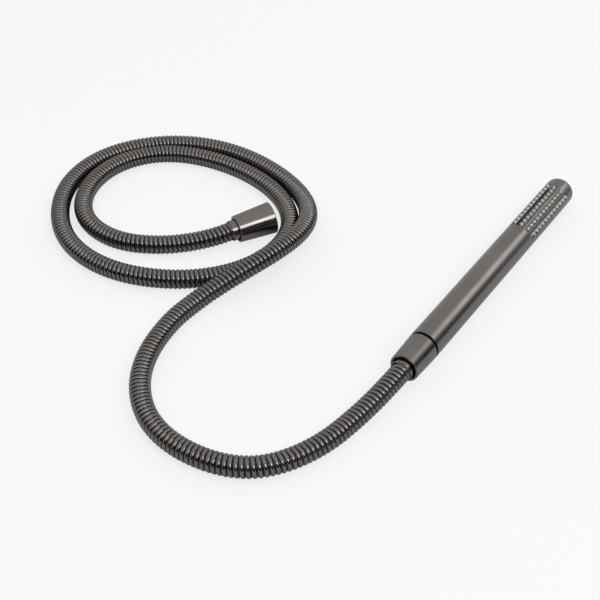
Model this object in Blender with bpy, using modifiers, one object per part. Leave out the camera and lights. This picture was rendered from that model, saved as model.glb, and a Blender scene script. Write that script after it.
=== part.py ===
"""Slim stick-shaped bath sprayer with an interlocked hose and two cone nuts.

Metres, +Z up. The handset lies on the ground along +Y, its spray tip towards +Y, and the hose leaves it
towards -Y. The origin is under the middle of the handset, on the ground.
"""

import math

import bmesh
import bpy
import numpy as np
from mathutils import Matrix, Vector

MM = 0.001
GAP = 0.3 * MM  # clearance between pieces that touch

# Handset tube
TUBE_R = 12.5 * MM
TUBE_WALL = 1.2 * MM
BORE_R = TUBE_R - TUBE_WALL
TIP_Y = 137.0 * MM
TIP_CORNER = 4.0 * MM  # round between the tube and its end
TIP_CROWN = 1.86 * MM  # height of the gentle dome on the end
TIP_DEPTH = 4.5 * MM  # from the dome's top to the end of the bore
TUBE_FOOT_Y = -107.6 * MM

# Spray face: rows of jets along the tube, seen as angles from straight up towards +X
ROW_STEP = math.radians(31.0)
FACE_ROLL = math.radians(15.7)
SLOT_WIDTH = 3.8 * MM
# Each row: the slot's length, the slot's middle and the middle of its jets
INNER_ROW = (69.6 * MM, 84.7 * MM, 85.3 * MM)
OUTER_ROW = (72.0 * MM, 86.2 * MM, 87.4 * MM)
ROWS = [OUTER_ROW, INNER_ROW, INNER_ROW, OUTER_ROW]
STRIP_FLANGE_WIDTH = 5.2 * MM
STRIP_FLANGE_R = (10.0 * MM, 10.7 * MM)
STRIP_TOP_R = 11.75 * MM
JETS_PER_ROW = 12
JET_PITCH = 5.73 * MM
JET_TIP_R = 13.4 * MM
JET_BASE_RADIUS = 1.4 * MM
JET_TOP_RADIUS = 1.15 * MM

# Spray core and supply pipe
CORE_R = 9.6 * MM
CORE_BORE_R = 7.6 * MM
CORE_COLLAR_R = 11.0 * MM
CORE_FOOT_Y = 38.0 * MM
CORE_END_Y = 127.0 * MM
PIPE_R = 6.0 * MM
PIPE_BORE_R = 4.6 * MM
FEED_WIDTH = 2.0 * MM
RING_SECTION = 0.6 * MM  # radius of an O-ring's section

# Cone nuts, each along its own axis from its small end
HANDSET_NUT_LENGTH = 27.0 * MM
HANDSET_NUT_R = (11.5 * MM, 12.5 * MM)
HANDSET_NUT_MOUTH_R = 9.7 * MM
WALL_NUT_LENGTH = 33.0 * MM
WALL_NUT_R = (11.5 * MM, 13.6 * MM)
WALL_NUT_MOUTH_R = 9.6 * MM
THREAD_BORE_R = 10.5 * MM  # G1/2 socket
SPIGOT_R = 10.2 * MM  # G1/2 spigot
NUT_EDGE = 0.4 * MM

# End plug and its O-rings, as places along the handset
PLUG_HEAD_Y = -92.0 * MM
PLUG_RING_Y = -96.5 * MM
PIPE_RING_Y = -99.0 * MM

# Hose and the pieces on its ends
HOSE_R = 8.0 * MM
FERRULE_R = 8.7 * MM
FERRULE_BORE_R = 6.9 * MM
TAIL_R = 5.0 * MM
TAIL_NECK_R = 6.2 * MM
TAIL_BORE_R = 3.9 * MM
FLANGE_R = 9.3 * MM
SHOULDER_BORE_R = 6.9 * MM
SLIP_RING_THICK = 0.6 * MM
FLANGE_THICK = 2.0 * MM
WASHER_THICK = 2.5 * MM
WASHER_R = (5.2 * MM, 9.5 * MM)
SCREEN_R = 4.8 * MM
SCREEN_THICK = 0.6 * MM
SCREEN_HOLE_R = 0.9 * MM
SCREEN_HOLE_RING = 2.9 * MM
HANDSET_FERRULE = (-4.5 * MM, 8.5 * MM)  # low and high end, from the nut's small end
WALL_FERRULE = (-5.3 * MM, 12.5 * MM)

# Where the two ends of the hose lie
HANDSET_MOUTH_Y = -137.0 * MM
WALL_NUT_FOOT = Vector((-201.5, -72.1, 11.48)) * MM
WALL_NUT_HEADING = math.radians(30.1)  # from +Y towards +X

# The hose's centreline, in millimetres, from the handset to the wall nut
HOSE_ROUTE = [
    (0, -142, 12.5), (0, -150, 12.5), (-1, -166, 11.3), (-3, -184, 9.5), (-6, -204, 8.2),
    (-12, -231, 8), (-35, -269, 8), (-77, -285, 8), (-121, -278, 8), (-155, -249, 8),
    (-172, -208, 8), (-174, -163, 8.5), (-160, -121, 17.1), (-149, -77, 20.5), (-156, -33, 15.3),
    (-185, 1, 9.3), (-226, 19, 8), (-271, 24, 8), (-315, 14, 8), (-351, -13, 8),
    (-371, -53, 8), (-368, -97, 8), (-344, -136, 8), (-307, -162, 8), (-262, -169, 8),
    (-219, -157, 8), (-183, -130, 8), (-162.5, -90, 8), (-166.5, -45, 8), (-197, -12, 8),
    (-240, 3, 8), (-285, 3, 8), (-327, -13, 8), (-352, -49, 8), (-349, -94, 8),
    (-321, -128, 8), (-277, -136, 8), (-237, -116, 8), (-212.5, -91.1, 10.1), (-204.65, -77.54, 11.08),
]
HOSE_POINTS = 80
WELD = 0.01 * MM

COLOURS = {
    "gunmetal": ((0.16, 0.15, 0.145, 1), 1.0, 0.28),
    "hose_metal": ((0.15, 0.14, 0.135, 1), 1.0, 0.25),
    "dark_metal": ((0.05, 0.048, 0.046, 1), 1.0, 0.35),
    "silicone": ((0.78, 0.78, 0.76, 1), 0.0, 0.45),
    "core_plastic": ((0.75, 0.75, 0.73, 1), 0.0, 0.5),
    "black_rubber": ((0.02, 0.02, 0.02, 1), 0.0, 0.7),
    "blue_plastic": ((0.12, 0.22, 0.5, 1), 0.0, 0.5),
    "nylon": ((0.85, 0.84, 0.8, 1), 0.0, 0.5),
    "brass": ((0.72, 0.55, 0.25, 1), 1.0, 0.35),
    "steel": ((0.6, 0.6, 0.6, 1), 1.0, 0.3),
}


def clear_scene():
    for obj in list(bpy.data.objects):
        bpy.data.objects.remove(obj, do_unlink=True)


def make_collection(name):
    collection = bpy.data.collections.new(name)
    bpy.context.scene.collection.children.link(collection)
    return collection


def make_material(name):
    colour, metallic, roughness = COLOURS[name]
    material = bpy.data.materials.new(name)
    material.use_nodes = True
    shader = material.node_tree.nodes["Principled BSDF"]
    shader.inputs["Base Color"].default_value = colour
    shader.inputs["Metallic"].default_value = metallic
    shader.inputs["Roughness"].default_value = roughness
    return material


clear_scene()
PARTS = make_collection("bath_sprayer")
CUTTERS = make_collection("cutters")
MATERIALS = {name: make_material(name) for name in COLOURS}


def make_axis(name, location, direction):
    """An empty whose +Z runs along direction; pieces turned on that axis are its children."""
    empty = bpy.data.objects.new(name, None)
    empty.empty_display_size = 0.02
    empty.location = location
    empty.rotation_euler = Vector((0, 0, 1)).rotation_difference(direction).to_euler()
    PARTS.objects.link(empty)
    return empty


def place(obj, axis, along, turn=0.0):
    obj.parent = axis
    obj.location = (0, 0, along)
    obj.rotation_euler = (0, 0, turn)
    return obj


def new_object(name, mesh, collection, material=None):
    obj = bpy.data.objects.new(name, mesh)
    collection.objects.link(obj)
    if material:
        mesh.materials.append(MATERIALS[material])
    if collection is CUTTERS:
        obj.hide_render = True
        obj.display_type = "WIRE"
    return obj


def turned(name, profile, material, steps=32):
    """A solid of revolution about local Z. The closed profile is (radius, height) points, starting on
    its outer side and running down it."""
    mesh = bpy.data.meshes.new(name)
    points = [(radius, 0, height) for radius, height in profile]
    on_axis = profile[0][0] == 0 and profile[-1][0] == 0
    last = len(points) - 1 if on_axis else len(points)
    edges = [(i, (i + 1) % len(points)) for i in range(last)]
    mesh.from_pydata(points, edges, [])
    obj = new_object(name, mesh, PARTS, material)
    screw = obj.modifiers.new("turn", "SCREW")
    screw.steps = steps
    screw.render_steps = steps
    screw.use_merge_vertices = True
    screw.merge_threshold = WELD
    screw.use_smooth_shade = True
    return obj


def ring(low, high, inner, outer):
    """Profile of a plain ring with square edges."""
    return [(outer, high), (outer, low), (inner, low), (inner, high)]


def arc(centre, radius, start, end, count):
    """Points on a circular arc of a profile; angles in degrees, 0 outwards and 90 upwards."""
    angles = np.radians(np.linspace(start, end, count))
    return [(centre[0] + radius * math.cos(a), centre[1] + radius * math.sin(a)) for a in angles]


def cut(obj, cutter, operation="DIFFERENCE"):
    modifier = obj.modifiers.new(cutter.name, "BOOLEAN")
    modifier.operation = operation
    modifier.object = cutter
    modifier.solver = "EXACT"


def stadium(name, width, length, low, high, collection, material=None):
    """A bar with round ends: its outline lies in the local YZ plane and it stands from low to high
    along local X."""
    curve = bpy.data.curves.new(name + "_outline", "CURVE")
    curve.dimensions = "2D"
    curve.fill_mode = "BOTH"
    curve.extrude = (high - low) / 2
    spline = curve.splines.new("POLY")
    straight = length / 2 - width / 2
    outline = arc((0, straight), width / 2, 0, 180, 7) + arc((0, -straight), width / 2, 180, 360, 7)
    spline.points.add(len(outline) - 1)
    for point, (x, y) in zip(spline.points, outline):
        point.co = (x, y, 0, 1)
    spline.use_cyclic_u = True
    source = bpy.data.objects.new(name + "_outline", curve)
    CUTTERS.objects.link(source)
    mesh = mesh_from(source)
    bpy.data.objects.remove(source, do_unlink=True)
    middle = (low + high) / 2
    stand = Matrix.Translation((middle, 0, 0)) @ Matrix(
        ((0, 0, 1, 0), (1, 0, 0, 0), (0, 1, 0, 0), (0, 0, 0, 1))
    )
    mesh.transform(stand)
    mesh.name = name
    return new_object(name, mesh, collection, material)


def mesh_from(obj):
    """The evaluated object as a mesh, with the seams of a curve's caps welded."""
    bpy.context.view_layer.update()
    graph = bpy.context.evaluated_depsgraph_get()
    mesh = bpy.data.meshes.new_from_object(obj.evaluated_get(graph))
    work = bmesh.new()
    work.from_mesh(mesh)
    bmesh.ops.remove_doubles(work, verts=work.verts, dist=WELD)
    work.to_mesh(mesh)
    work.free()
    return mesh


def o_ring(name, axis, along, radius):
    outline = arc((radius, 0), RING_SECTION, 90, -270, 9)[:-1]
    return place(turned(name, outline, "black_rubber", steps=20), axis, along)


# --- Handset -------------------------------------------------------------------------------------


def row_angle(row):
    return FACE_ROLL + (row - (len(ROWS) - 1) / 2) * ROW_STEP


def row_turn(row):
    """Turn about the handset's axis that brings local +X to the row's direction."""
    return row_angle(row) - math.pi / 2


def tip_profile():
    """The tube's wall from the middle of its domed tip down its outside and up its bore."""
    flat_r = TUBE_R - TIP_CORNER
    crown = [(flat_r * q, TIP_Y - TIP_CROWN * q * q) for q in np.linspace(0, 0.999, 5)]
    corner_top = crown[-1][1]
    corner_start = corner_top - TIP_CORNER
    outside = crown + arc((flat_r, corner_start), TIP_CORNER, 78, 0, 6)
    inside_top = TIP_Y - TIP_DEPTH
    return outside + [
        (TUBE_R, TUBE_FOOT_Y + NUT_EDGE),
        (TUBE_R - NUT_EDGE, TUBE_FOOT_Y),
        (BORE_R, TUBE_FOOT_Y),
        (BORE_R, inside_top - TIP_CORNER),
        (BORE_R - TIP_CORNER, inside_top),
        (0, inside_top),
    ]


def make_handset_shell(axis):
    shell = place(turned("handset_shell", tip_profile(), "gunmetal", steps=48), axis, 0)
    for row, (length, middle, _) in enumerate(ROWS):
        slot = stadium(
            f"slot_cutter_{row + 1}", SLOT_WIDTH, length, BORE_R - 1 * MM, TUBE_R + 1 * MM, CUTTERS
        )
        cut(shell, place(slot, axis, middle, row_turn(row)))
    return shell


def make_jet_cones(name):
    """One row of tapered jets, as separate cones of one mesh, to be joined to their strip."""
    root_r = STRIP_TOP_R - 0.5 * MM
    work = bmesh.new()
    for index in range(JETS_PER_ROW):
        along = (index - (JETS_PER_ROW - 1) / 2) * JET_PITCH
        stand = Matrix.Translation(((root_r + JET_TIP_R) / 2, 0, along)) @ Matrix.Rotation(
            math.pi / 2, 4, "Y"
        )
        bmesh.ops.create_cone(
            work,
            cap_ends=True,
            segments=10,
            radius1=JET_BASE_RADIUS,
            radius2=JET_TOP_RADIUS,
            depth=JET_TIP_R - root_r,
            matrix=stand,
        )
    mesh = bpy.data.meshes.new(name)
    work.to_mesh(mesh)
    work.free()
    return new_object(name, mesh, CUTTERS)


def make_nozzle_strip(axis, row):
    name = f"nozzle_strip_{row + 1}"
    length, middle, jets_middle = ROWS[row]
    rib = stadium(
        name,
        SLOT_WIDTH - 2 * GAP,
        length - 2 * GAP,
        STRIP_FLANGE_R[0] + 0.2 * MM,
        STRIP_TOP_R,
        PARTS,
        "silicone",
    )
    low, high = STRIP_FLANGE_R
    bpy.ops.mesh.primitive_cube_add(size=1)
    flange = bpy.context.object
    flange.name = name + "_flange"
    size = (high - low, STRIP_FLANGE_WIDTH, length + 4 * MM)
    flange.data.transform(Matrix.Translation(((low + high) / 2, 0, 0)) @ Matrix.Diagonal((*size, 1)))
    for collection in list(flange.users_collection):
        collection.objects.unlink(flange)
    CUTTERS.objects.link(flange)
    flange.hide_render = True
    flange.display_type = "WIRE"
    jets = make_jet_cones(name + "_jets")
    for piece, along in ((rib, middle), (flange, middle), (jets, jets_middle)):
        place(piece, axis, along, row_turn(row))
    cut(rib, flange, "UNION")
    cut(rib, jets, "UNION")
    return rib


def make_spray_core(axis):
    foot = CORE_FOOT_Y
    groove = (foot + 2.6 * MM, foot + 4.4 * MM)
    groove_r = CORE_COLLAR_R - 1.4 * MM
    profile = [
        (0, CORE_END_Y),
        (CORE_R - 1 * MM, CORE_END_Y),
        (CORE_R, CORE_END_Y - 1 * MM),
        (CORE_R, foot + 8 * MM),
        (CORE_COLLAR_R, foot + 8 * MM),
        (CORE_COLLAR_R, groove[1]),
        (groove_r, groove[1]),
        (groove_r, groove[0]),
        (CORE_COLLAR_R, groove[0]),
        (CORE_COLLAR_R, foot),
        (PIPE_R + GAP, foot),
        (PIPE_R + GAP, foot + 7.5 * MM),
        (PIPE_BORE_R, foot + 7.5 * MM),
        (PIPE_BORE_R, foot + 9 * MM),
        (CORE_BORE_R, foot + 11 * MM),
        (CORE_BORE_R, CORE_END_Y - 3 * MM),
        (0, CORE_END_Y - 3 * MM),
    ]
    core = place(turned("spray_core", profile, "core_plastic", steps=24), axis, 0)
    for row, (length, middle, _) in enumerate(ROWS):
        feed = stadium(
            f"feed_cutter_{row + 1}", FEED_WIDTH, length - 4 * MM, CORE_BORE_R - 1.5 * MM,
            CORE_R + 1 * MM, CUTTERS,
        )
        cut(core, place(feed, axis, middle, row_turn(row)))
    o_ring("core_o_ring", axis, (groove[0] + groove[1]) / 2, BORE_R - GAP / 2 - RING_SECTION - 0.1 * MM)
    return core


def make_supply_tube(axis):
    foot = TUBE_FOOT_Y + 3.9 * MM
    head = CORE_FOOT_Y + 7.2 * MM
    return place(
        turned("supply_tube", ring(foot, head, PIPE_BORE_R, PIPE_R), "core_plastic", steps=24), axis, 0
    )


def make_end_plug(axis):
    """Threaded spigot: body in the tube, collar in the groove, G1/2 nose for the cone nut."""
    collar_top = TUBE_FOOT_Y - GAP
    collar_foot = HANDSET_MOUTH_Y + HANDSET_NUT_LENGTH + GAP
    nose = spigot_end()
    half = 0.9 * MM
    body_r = BORE_R - 0.4 * MM
    pipe_foot = TUBE_FOOT_Y + 3.6 * MM
    profile = [
        (body_r, PLUG_HEAD_Y),
        (body_r, PLUG_RING_Y + half),
        (body_r - 1.4 * MM, PLUG_RING_Y + half),
        (body_r - 1.4 * MM, PLUG_RING_Y - half),
        (body_r, PLUG_RING_Y - half),
        (body_r, collar_top),
        (TUBE_R - 1.0 * MM, collar_top),
        (TUBE_R - 1.0 * MM, collar_foot),
        (SPIGOT_R, collar_foot),
        (SPIGOT_R, nose + 0.8 * MM),
        (SPIGOT_R - 0.8 * MM, nose),
        (7.2 * MM, nose),
        (7.2 * MM, nose + 6 * MM),
        (PIPE_BORE_R, nose + 6 * MM),
        (PIPE_BORE_R, pipe_foot),
        (PIPE_R + GAP, pipe_foot),
        (PIPE_R + GAP, PIPE_RING_Y - half),
        (PIPE_R + 1.8 * MM, PIPE_RING_Y - half),
        (PIPE_R + 1.8 * MM, PIPE_RING_Y + half),
        (PIPE_R + GAP, PIPE_RING_Y + half),
        (PIPE_R + GAP, PLUG_HEAD_Y),
    ]
    plug = place(turned("end_plug", profile, "dark_metal", steps=24), axis, 0)
    o_ring("plug_o_ring", axis, PLUG_RING_Y, BORE_R - GAP - RING_SECTION)
    o_ring("pipe_o_ring", axis, PIPE_RING_Y, PIPE_R + GAP + RING_SECTION + 0.1 * MM)
    return plug


def spigot_end():
    return HANDSET_MOUTH_Y + handset_stack()["washer"][1] + GAP


def make_flow_restrictor(axis):
    foot = spigot_end() + 0.5 * MM
    profile = [
        (6.9 * MM, foot + 5.2 * MM),
        (6.9 * MM, foot),
        (3.0 * MM, foot),
        (1.2 * MM, foot + 2.0 * MM),
        (1.2 * MM, foot + 4.0 * MM),
        (3.0 * MM, foot + 5.2 * MM),
    ]
    return place(turned("flow_restrictor", profile, "blue_plastic", steps=24), axis, 0)


# --- Hose ends -----------------------------------------------------------------------------------


def end_stack(ferrule_low, ferrule_high):
    """Heights of the pieces stacked in a cone nut, from the nut's small end."""
    shoulder_low = ferrule_high + 2 * GAP
    shoulder_high = shoulder_low + 2.8 * MM
    slip_low = shoulder_high + GAP
    slip_high = slip_low + SLIP_RING_THICK
    flange_low = slip_high + GAP
    flange_high = flange_low + FLANGE_THICK
    washer_low = flange_high + GAP
    return {
        "ferrule": (ferrule_low, ferrule_high),
        "shoulder": (shoulder_low, shoulder_high),
        "slip_ring": (slip_low, slip_high),
        "flange": (flange_low, flange_high),
        "washer": (washer_low, washer_low + WASHER_THICK),
    }


def handset_stack():
    return end_stack(*HANDSET_FERRULE)


def wall_stack():
    return end_stack(*WALL_FERRULE)


def make_nut(name, axis, length, radii, stack, mouth_bore):
    """A cone nut: small end at height 0 round the ferrule, threaded socket in its big end."""
    small, big = radii
    slope = (big - small) / length
    low, high = stack["shoulder"]
    profile = [
        (big - NUT_EDGE, length),
        (big - slope * NUT_EDGE, length - NUT_EDGE),
        (small + slope * NUT_EDGE, NUT_EDGE),
        (small - NUT_EDGE, 0),
        (mouth_bore, 0),
        (mouth_bore, low),
        (SHOULDER_BORE_R, low),
        (SHOULDER_BORE_R, high),
        (THREAD_BORE_R, high),
        (THREAD_BORE_R, length - 0.8 * MM),
        (THREAD_BORE_R + 0.8 * MM, length),
    ]
    return place(turned(name, profile, "gunmetal", steps=40), axis, 0)


def make_hose_end(prefix, axis, stack):
    """Ferrule, tail, liner end, slip ring and washer of one end of the hose."""
    low, high = stack["ferrule"]
    ferrule = [
        (FERRULE_R - 0.3 * MM, high),
        (FERRULE_R, high - 0.3 * MM),
        (FERRULE_R, low + 0.3 * MM),
        (FERRULE_R - 0.3 * MM, low),
        (FERRULE_BORE_R, low),
        (FERRULE_BORE_R, high - 1.2 * MM),
        (TAIL_NECK_R + GAP, high - 1.2 * MM),
        (TAIL_NECK_R + GAP, high),
    ]
    place(turned(f"{prefix}_ferrule", ferrule, "gunmetal"), axis, 0)
    neck_foot = high - 2.0 * MM
    flange_low, flange_high = stack["flange"]
    tail = [
        (FLANGE_R, flange_high),
        (FLANGE_R, flange_low),
        (TAIL_NECK_R, flange_low),
        (TAIL_NECK_R, neck_foot),
        (TAIL_R, neck_foot),
        (TAIL_R, low + 1.0 * MM),
        (TAIL_R - 0.5 * MM, low + 0.4 * MM),
        (TAIL_BORE_R, low + 0.4 * MM),
        (TAIL_BORE_R, flange_high),
    ]
    place(turned(f"{prefix}_tail", tail, "brass", steps=24), axis, 0)
    liner = ring(low + 0.4 * MM, neck_foot - GAP, TAIL_R + GAP, FERRULE_BORE_R - GAP)
    place(turned(f"{prefix}_liner_end", liner, "nylon", steps=24), axis, 0)
    slip = ring(*stack["slip_ring"], TAIL_NECK_R + GAP, FLANGE_R)
    place(turned(f"{prefix}_slip_ring", slip, "nylon", steps=24), axis, 0)
    washer = ring(*stack["washer"], *WASHER_R)
    place(turned(f"{prefix}_washer", washer, "black_rubber", steps=24), axis, 0)


def make_inlet_screen(axis, stack):
    """Sieve in the wall washer's hole: a thin disc with a ring of holes round a middle one."""
    low, high = stack["washer"]
    middle = (low + high) / 2
    top, foot = middle + SCREEN_THICK / 2, middle - SCREEN_THICK / 2
    disc = [(0, top), (SCREEN_R, top), (SCREEN_R, foot), (0, foot)]
    screen = place(turned("inlet_screen", disc, "steel", steps=24), axis, 0)
    work = bmesh.new()
    spots = [(0.0, 0.0)] + [
        (SCREEN_HOLE_RING * math.cos(a), SCREEN_HOLE_RING * math.sin(a))
        for a in np.radians(range(0, 360, 60))
    ]
    for x, y in spots:
        bmesh.ops.create_cone(
            work, cap_ends=True, segments=8, radius1=SCREEN_HOLE_R, radius2=SCREEN_HOLE_R, depth=3 * MM,
            matrix=Matrix.Translation((x, y, middle)),
        )
    mesh = bpy.data.meshes.new("screen_hole_cutter")
    work.to_mesh(mesh)
    work.free()
    cut(screen, place(new_object("screen_hole_cutter", mesh, CUTTERS), axis, 0))
    return screen


# --- Hose ----------------------------------------------------------------------------------------


def smooth_line(knots, count):
    """count points on a natural cubic spline through the knots, spaced evenly along it."""
    knots = np.array(knots, float)
    reach = np.linalg.norm(np.diff(knots, axis=0), axis=1) ** 0.5
    time = np.concatenate([[0], np.cumsum(reach)])
    size = len(knots)
    matrix = np.eye(size)
    right = np.zeros((size, 3))
    for i in range(1, size - 1):
        before, after = reach[i - 1], reach[i]
        matrix[i, i - 1 : i + 2] = before, 2 * (before + after), after
        right[i] = 6 * ((knots[i + 1] - knots[i]) / after - (knots[i] - knots[i - 1]) / before)
    bend = np.linalg.solve(matrix, right)
    times = np.linspace(0, time[-1], 4000)
    k = np.clip(np.searchsorted(time, times, side="right") - 1, 0, size - 2)
    left, rest = (time[k + 1] - times)[:, None], (times - time[k])[:, None]
    step = reach[k][:, None]
    line = (
        (bend[k] * left**3 + bend[k + 1] * rest**3) / (6 * step)
        + (knots[k] / step - bend[k] * step / 6) * left
        + (knots[k + 1] / step - bend[k + 1] * step / 6) * rest
    )
    length = np.concatenate([[0], np.cumsum(np.linalg.norm(np.diff(line, axis=0), axis=1))])
    even = np.linspace(0, length[-1], count)
    return np.stack([np.interp(even, length, line[:, i]) for i in range(3)], axis=1)


def make_hose():
    """The hose as a plain tube that lies on the ground and rests on itself in one low hump."""
    line = smooth_line(HOSE_ROUTE, HOSE_POINTS) * MM
    line[:, 2] = np.maximum(line[:, 2], HOSE_R)
    curve = bpy.data.curves.new("hose", "CURVE")
    curve.dimensions = "3D"
    curve.bevel_depth = HOSE_R
    curve.bevel_resolution = 4
    curve.use_fill_caps = True
    spline = curve.splines.new("POLY")
    spline.points.add(len(line) - 1)
    for point, place_at in zip(spline.points, line):
        point.co = (*place_at, 1)
    curve.materials.append(MATERIALS["hose_metal"])
    hose = bpy.data.objects.new("hose", curve)
    PARTS.objects.link(hose)
    return hose


# --- Assembly ------------------------------------------------------------------------------------

handset_axis = make_axis("handset_axis", Vector((0, 0, TUBE_R)), Vector((0, 1, 0)))
make_handset_shell(handset_axis)
for strip_row in range(len(ROWS)):
    make_nozzle_strip(handset_axis, strip_row)
make_spray_core(handset_axis)
make_supply_tube(handset_axis)
make_end_plug(handset_axis)
make_flow_restrictor(handset_axis)

handset_end_axis = make_axis(
    "handset_end_axis", Vector((0, HANDSET_MOUTH_Y, TUBE_R)), Vector((0, 1, 0))
)
make_nut(
    "handset_nut", handset_end_axis, HANDSET_NUT_LENGTH, HANDSET_NUT_R, handset_stack(),
    HANDSET_NUT_MOUTH_R,
)
make_hose_end("handset", handset_end_axis, handset_stack())

wall_tilt = math.atan((WALL_NUT_R[1] - WALL_NUT_R[0]) / WALL_NUT_LENGTH)
wall_direction = Vector(
    (
        math.cos(wall_tilt) * math.sin(WALL_NUT_HEADING),
        math.cos(wall_tilt) * math.cos(WALL_NUT_HEADING),
        math.sin(wall_tilt),
    )
)
wall_axis = make_axis("wall_axis", WALL_NUT_FOOT, wall_direction)
make_nut("wall_nut", wall_axis, WALL_NUT_LENGTH, WALL_NUT_R, wall_stack(), WALL_NUT_MOUTH_R)
make_hose_end("wall", wall_axis, wall_stack())
make_inlet_screen(wall_axis, wall_stack())
make_hose()
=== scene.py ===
"""Looks of the slim bath sprayer: a gunmetal stick hand shower, its interlocked hose and two
cone nuts.

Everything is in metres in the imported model's frame. The handset lies along +Y, its spray tip
towards +Y, and the hose leaves it towards -Y.
"""

import math

import bmesh
import bpy
import numpy as np
from mathutils import Matrix, Vector
from mathutils.geometry import delaunay_2d_cdt


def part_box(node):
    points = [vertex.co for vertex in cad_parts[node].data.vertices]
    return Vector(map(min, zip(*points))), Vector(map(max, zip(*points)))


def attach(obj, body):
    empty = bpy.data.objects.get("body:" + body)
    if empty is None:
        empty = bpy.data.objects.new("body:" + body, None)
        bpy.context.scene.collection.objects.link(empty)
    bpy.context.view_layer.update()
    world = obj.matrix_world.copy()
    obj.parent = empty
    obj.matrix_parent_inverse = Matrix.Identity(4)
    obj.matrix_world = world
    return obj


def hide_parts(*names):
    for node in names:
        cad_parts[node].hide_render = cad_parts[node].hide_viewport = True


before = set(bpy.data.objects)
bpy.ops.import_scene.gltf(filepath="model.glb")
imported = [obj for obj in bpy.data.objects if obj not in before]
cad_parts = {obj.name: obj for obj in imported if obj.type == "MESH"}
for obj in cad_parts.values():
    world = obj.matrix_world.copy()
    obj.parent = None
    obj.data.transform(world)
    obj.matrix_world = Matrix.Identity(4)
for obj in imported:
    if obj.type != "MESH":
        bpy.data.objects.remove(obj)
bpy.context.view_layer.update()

MM = 0.001

# Handset, read from the frame
TUBE_LOW, TUBE_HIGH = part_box("handset_shell")
TUBE_R = (TUBE_HIGH.x - TUBE_LOW.x) / 2
TUBE_FOOT_Y = TUBE_LOW.y
TIP_Y = TUBE_HIGH.y
HANDSET_Z = (TUBE_HIGH.z + TUBE_LOW.z) / 2
BORE_R = TUBE_R - 1.2 * MM
TIP_CORNER = 4.0 * MM
TIP_CROWN = 1.86 * MM  # height of the gentle dome on the end
TIP_DEPTH = 4.5 * MM  # from the dome's top to the end of the bore
FOOT_EDGE = 0.35 * MM  # rounding of the tube's open end
TUBE_SEGMENTS = 96

# Spray face: rows of jets, as angles from straight up towards +X
ROW_STEP = math.radians(31.0)
FACE_ROLL = math.radians(15.7)
SLOT_WIDTH = 3.9 * MM
# Each row: the slot's length, the slot's middle and the middle of its jets
INNER_ROW = (69.6 * MM, 84.7 * MM, 85.3 * MM)
OUTER_ROW = (72.0 * MM, 86.2 * MM, 87.4 * MM)
ROWS = [OUTER_ROW, INNER_ROW, INNER_ROW, OUTER_ROW]
SLOT_RIM = 0.3 * MM  # rounding of a slot's edge
SLOT_ZONE = (44.0 * MM, 127.0 * MM)  # stretch of the tube whose surface is meshed round the slots
SLOT_TURNS = 14  # steps round each end of a slot
SLOT_SIDES = 40  # steps along each side of a slot
SLOT_CLEAR = 0.35 * MM  # plain ring that the mesh leaves round a slot
STRIP_WIDTH = 3.15 * MM
STRIP_FOOT_R = 10.2 * MM
STRIP_TOP_R = 11.75 * MM
STRIP_EDGE = 0.15 * MM  # rounding of a strip's edge
STRIP_TURNS = 12  # steps round each end and along each side of a strip
STRIP_SIDES = 24
JETS_PER_ROW = 12
JET_PITCH = 5.73 * MM
JET_TIP_R = 13.4 * MM
JET_BASE = 1.4 * MM
JET_TOP = 1.15 * MM
JET_BORE = 0.45 * MM
JET_DEPTH = 1.4 * MM
JET_TURNS = 10  # steps round half a jet
# Channel between the first two rows, painted dark: painted shade where the tube shows shade between
# those rows
CHANNEL_ANGLE = math.radians(-16.2)
CHANNEL_SPAN = (51.0 * MM, 113.5 * MM)
CHANNEL_WIDTH = 1.6 * MM
CHANNEL_DEPTH = 0.45 * MM

# Cone nuts and ferrules, each along its own axis from the nut's small end
HANDSET_MOUTH = Vector((0, -137.0 * MM, HANDSET_Z))
HANDSET_NUT_LENGTH = 27.0 * MM
HANDSET_NUT_R = (11.5 * MM, 12.5 * MM)
HANDSET_NUT_MOUTH_R = 9.7 * MM
HANDSET_NUT_SHOULDER = (9.1 * MM, 11.9 * MM)  # low and high side of the inner shoulder
HANDSET_NUT_EDGE = 0.6 * MM
HANDSET_FERRULE = (-4.5 * MM, 8.5 * MM)  # low and high end
WALL_NUT_FOOT = Vector((-201.5, -72.1, 11.48)) * MM
WALL_NUT_HEADING = math.radians(30.1)
WALL_NUT_LENGTH = 33.0 * MM
WALL_NUT_R = (11.5 * MM, 13.6 * MM)
WALL_NUT_MOUTH_R = 9.6 * MM
WALL_NUT_SHOULDER = (13.7 * MM, 16.5 * MM)
WALL_NUT_EDGE = 0.7 * MM
WALL_FERRULE = (-5.3 * MM, 12.5 * MM)
NUT_NECK_R = 6.9 * MM  # the hole in a nut's inner shoulder, and the bore of a ferrule
FERRULE_R = 8.7 * MM
FERRULE_MOUTH_R = 8.15 * MM
FERRULE_LIP_R = 6.5 * MM
FERRULE_LIP = 1.2 * MM

# G1/2 thread, washer and sieve in the wall nut's socket
THREAD_BORE_R = 10.5 * MM
THREAD_PITCH = 1.814 * MM
THREAD_START = 22.6 * MM
THREAD_MARGIN = 1.2 * MM  # plain bore at the socket's mouth
THREAD_ROOT_R = THREAD_BORE_R + 0.05 * MM
THREAD_DEPTH = 0.9 * MM
# The ridge's section: (place in pitches, share of its depth)
THREAD_RIDGE = [(-0.46, 0.0), (-0.1, 1.0), (0.1, 1.0), (0.46, 0.0)]
THREAD_SIDES = 64
THREAD_RUN_OUT = 12  # steps over which the ridge fades at each end
WASHER_SPAN = (19.4 * MM, 21.9 * MM)
WASHER_R = (5.2 * MM, 9.5 * MM)
WASHER_EDGE = 0.35 * MM
SIEVE_MIDDLE = 20.65 * MM
SIEVE_THICK = 0.3 * MM
SIEVE_R = 4.8 * MM
SIEVE_HOLE_R = 0.42 * MM
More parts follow.
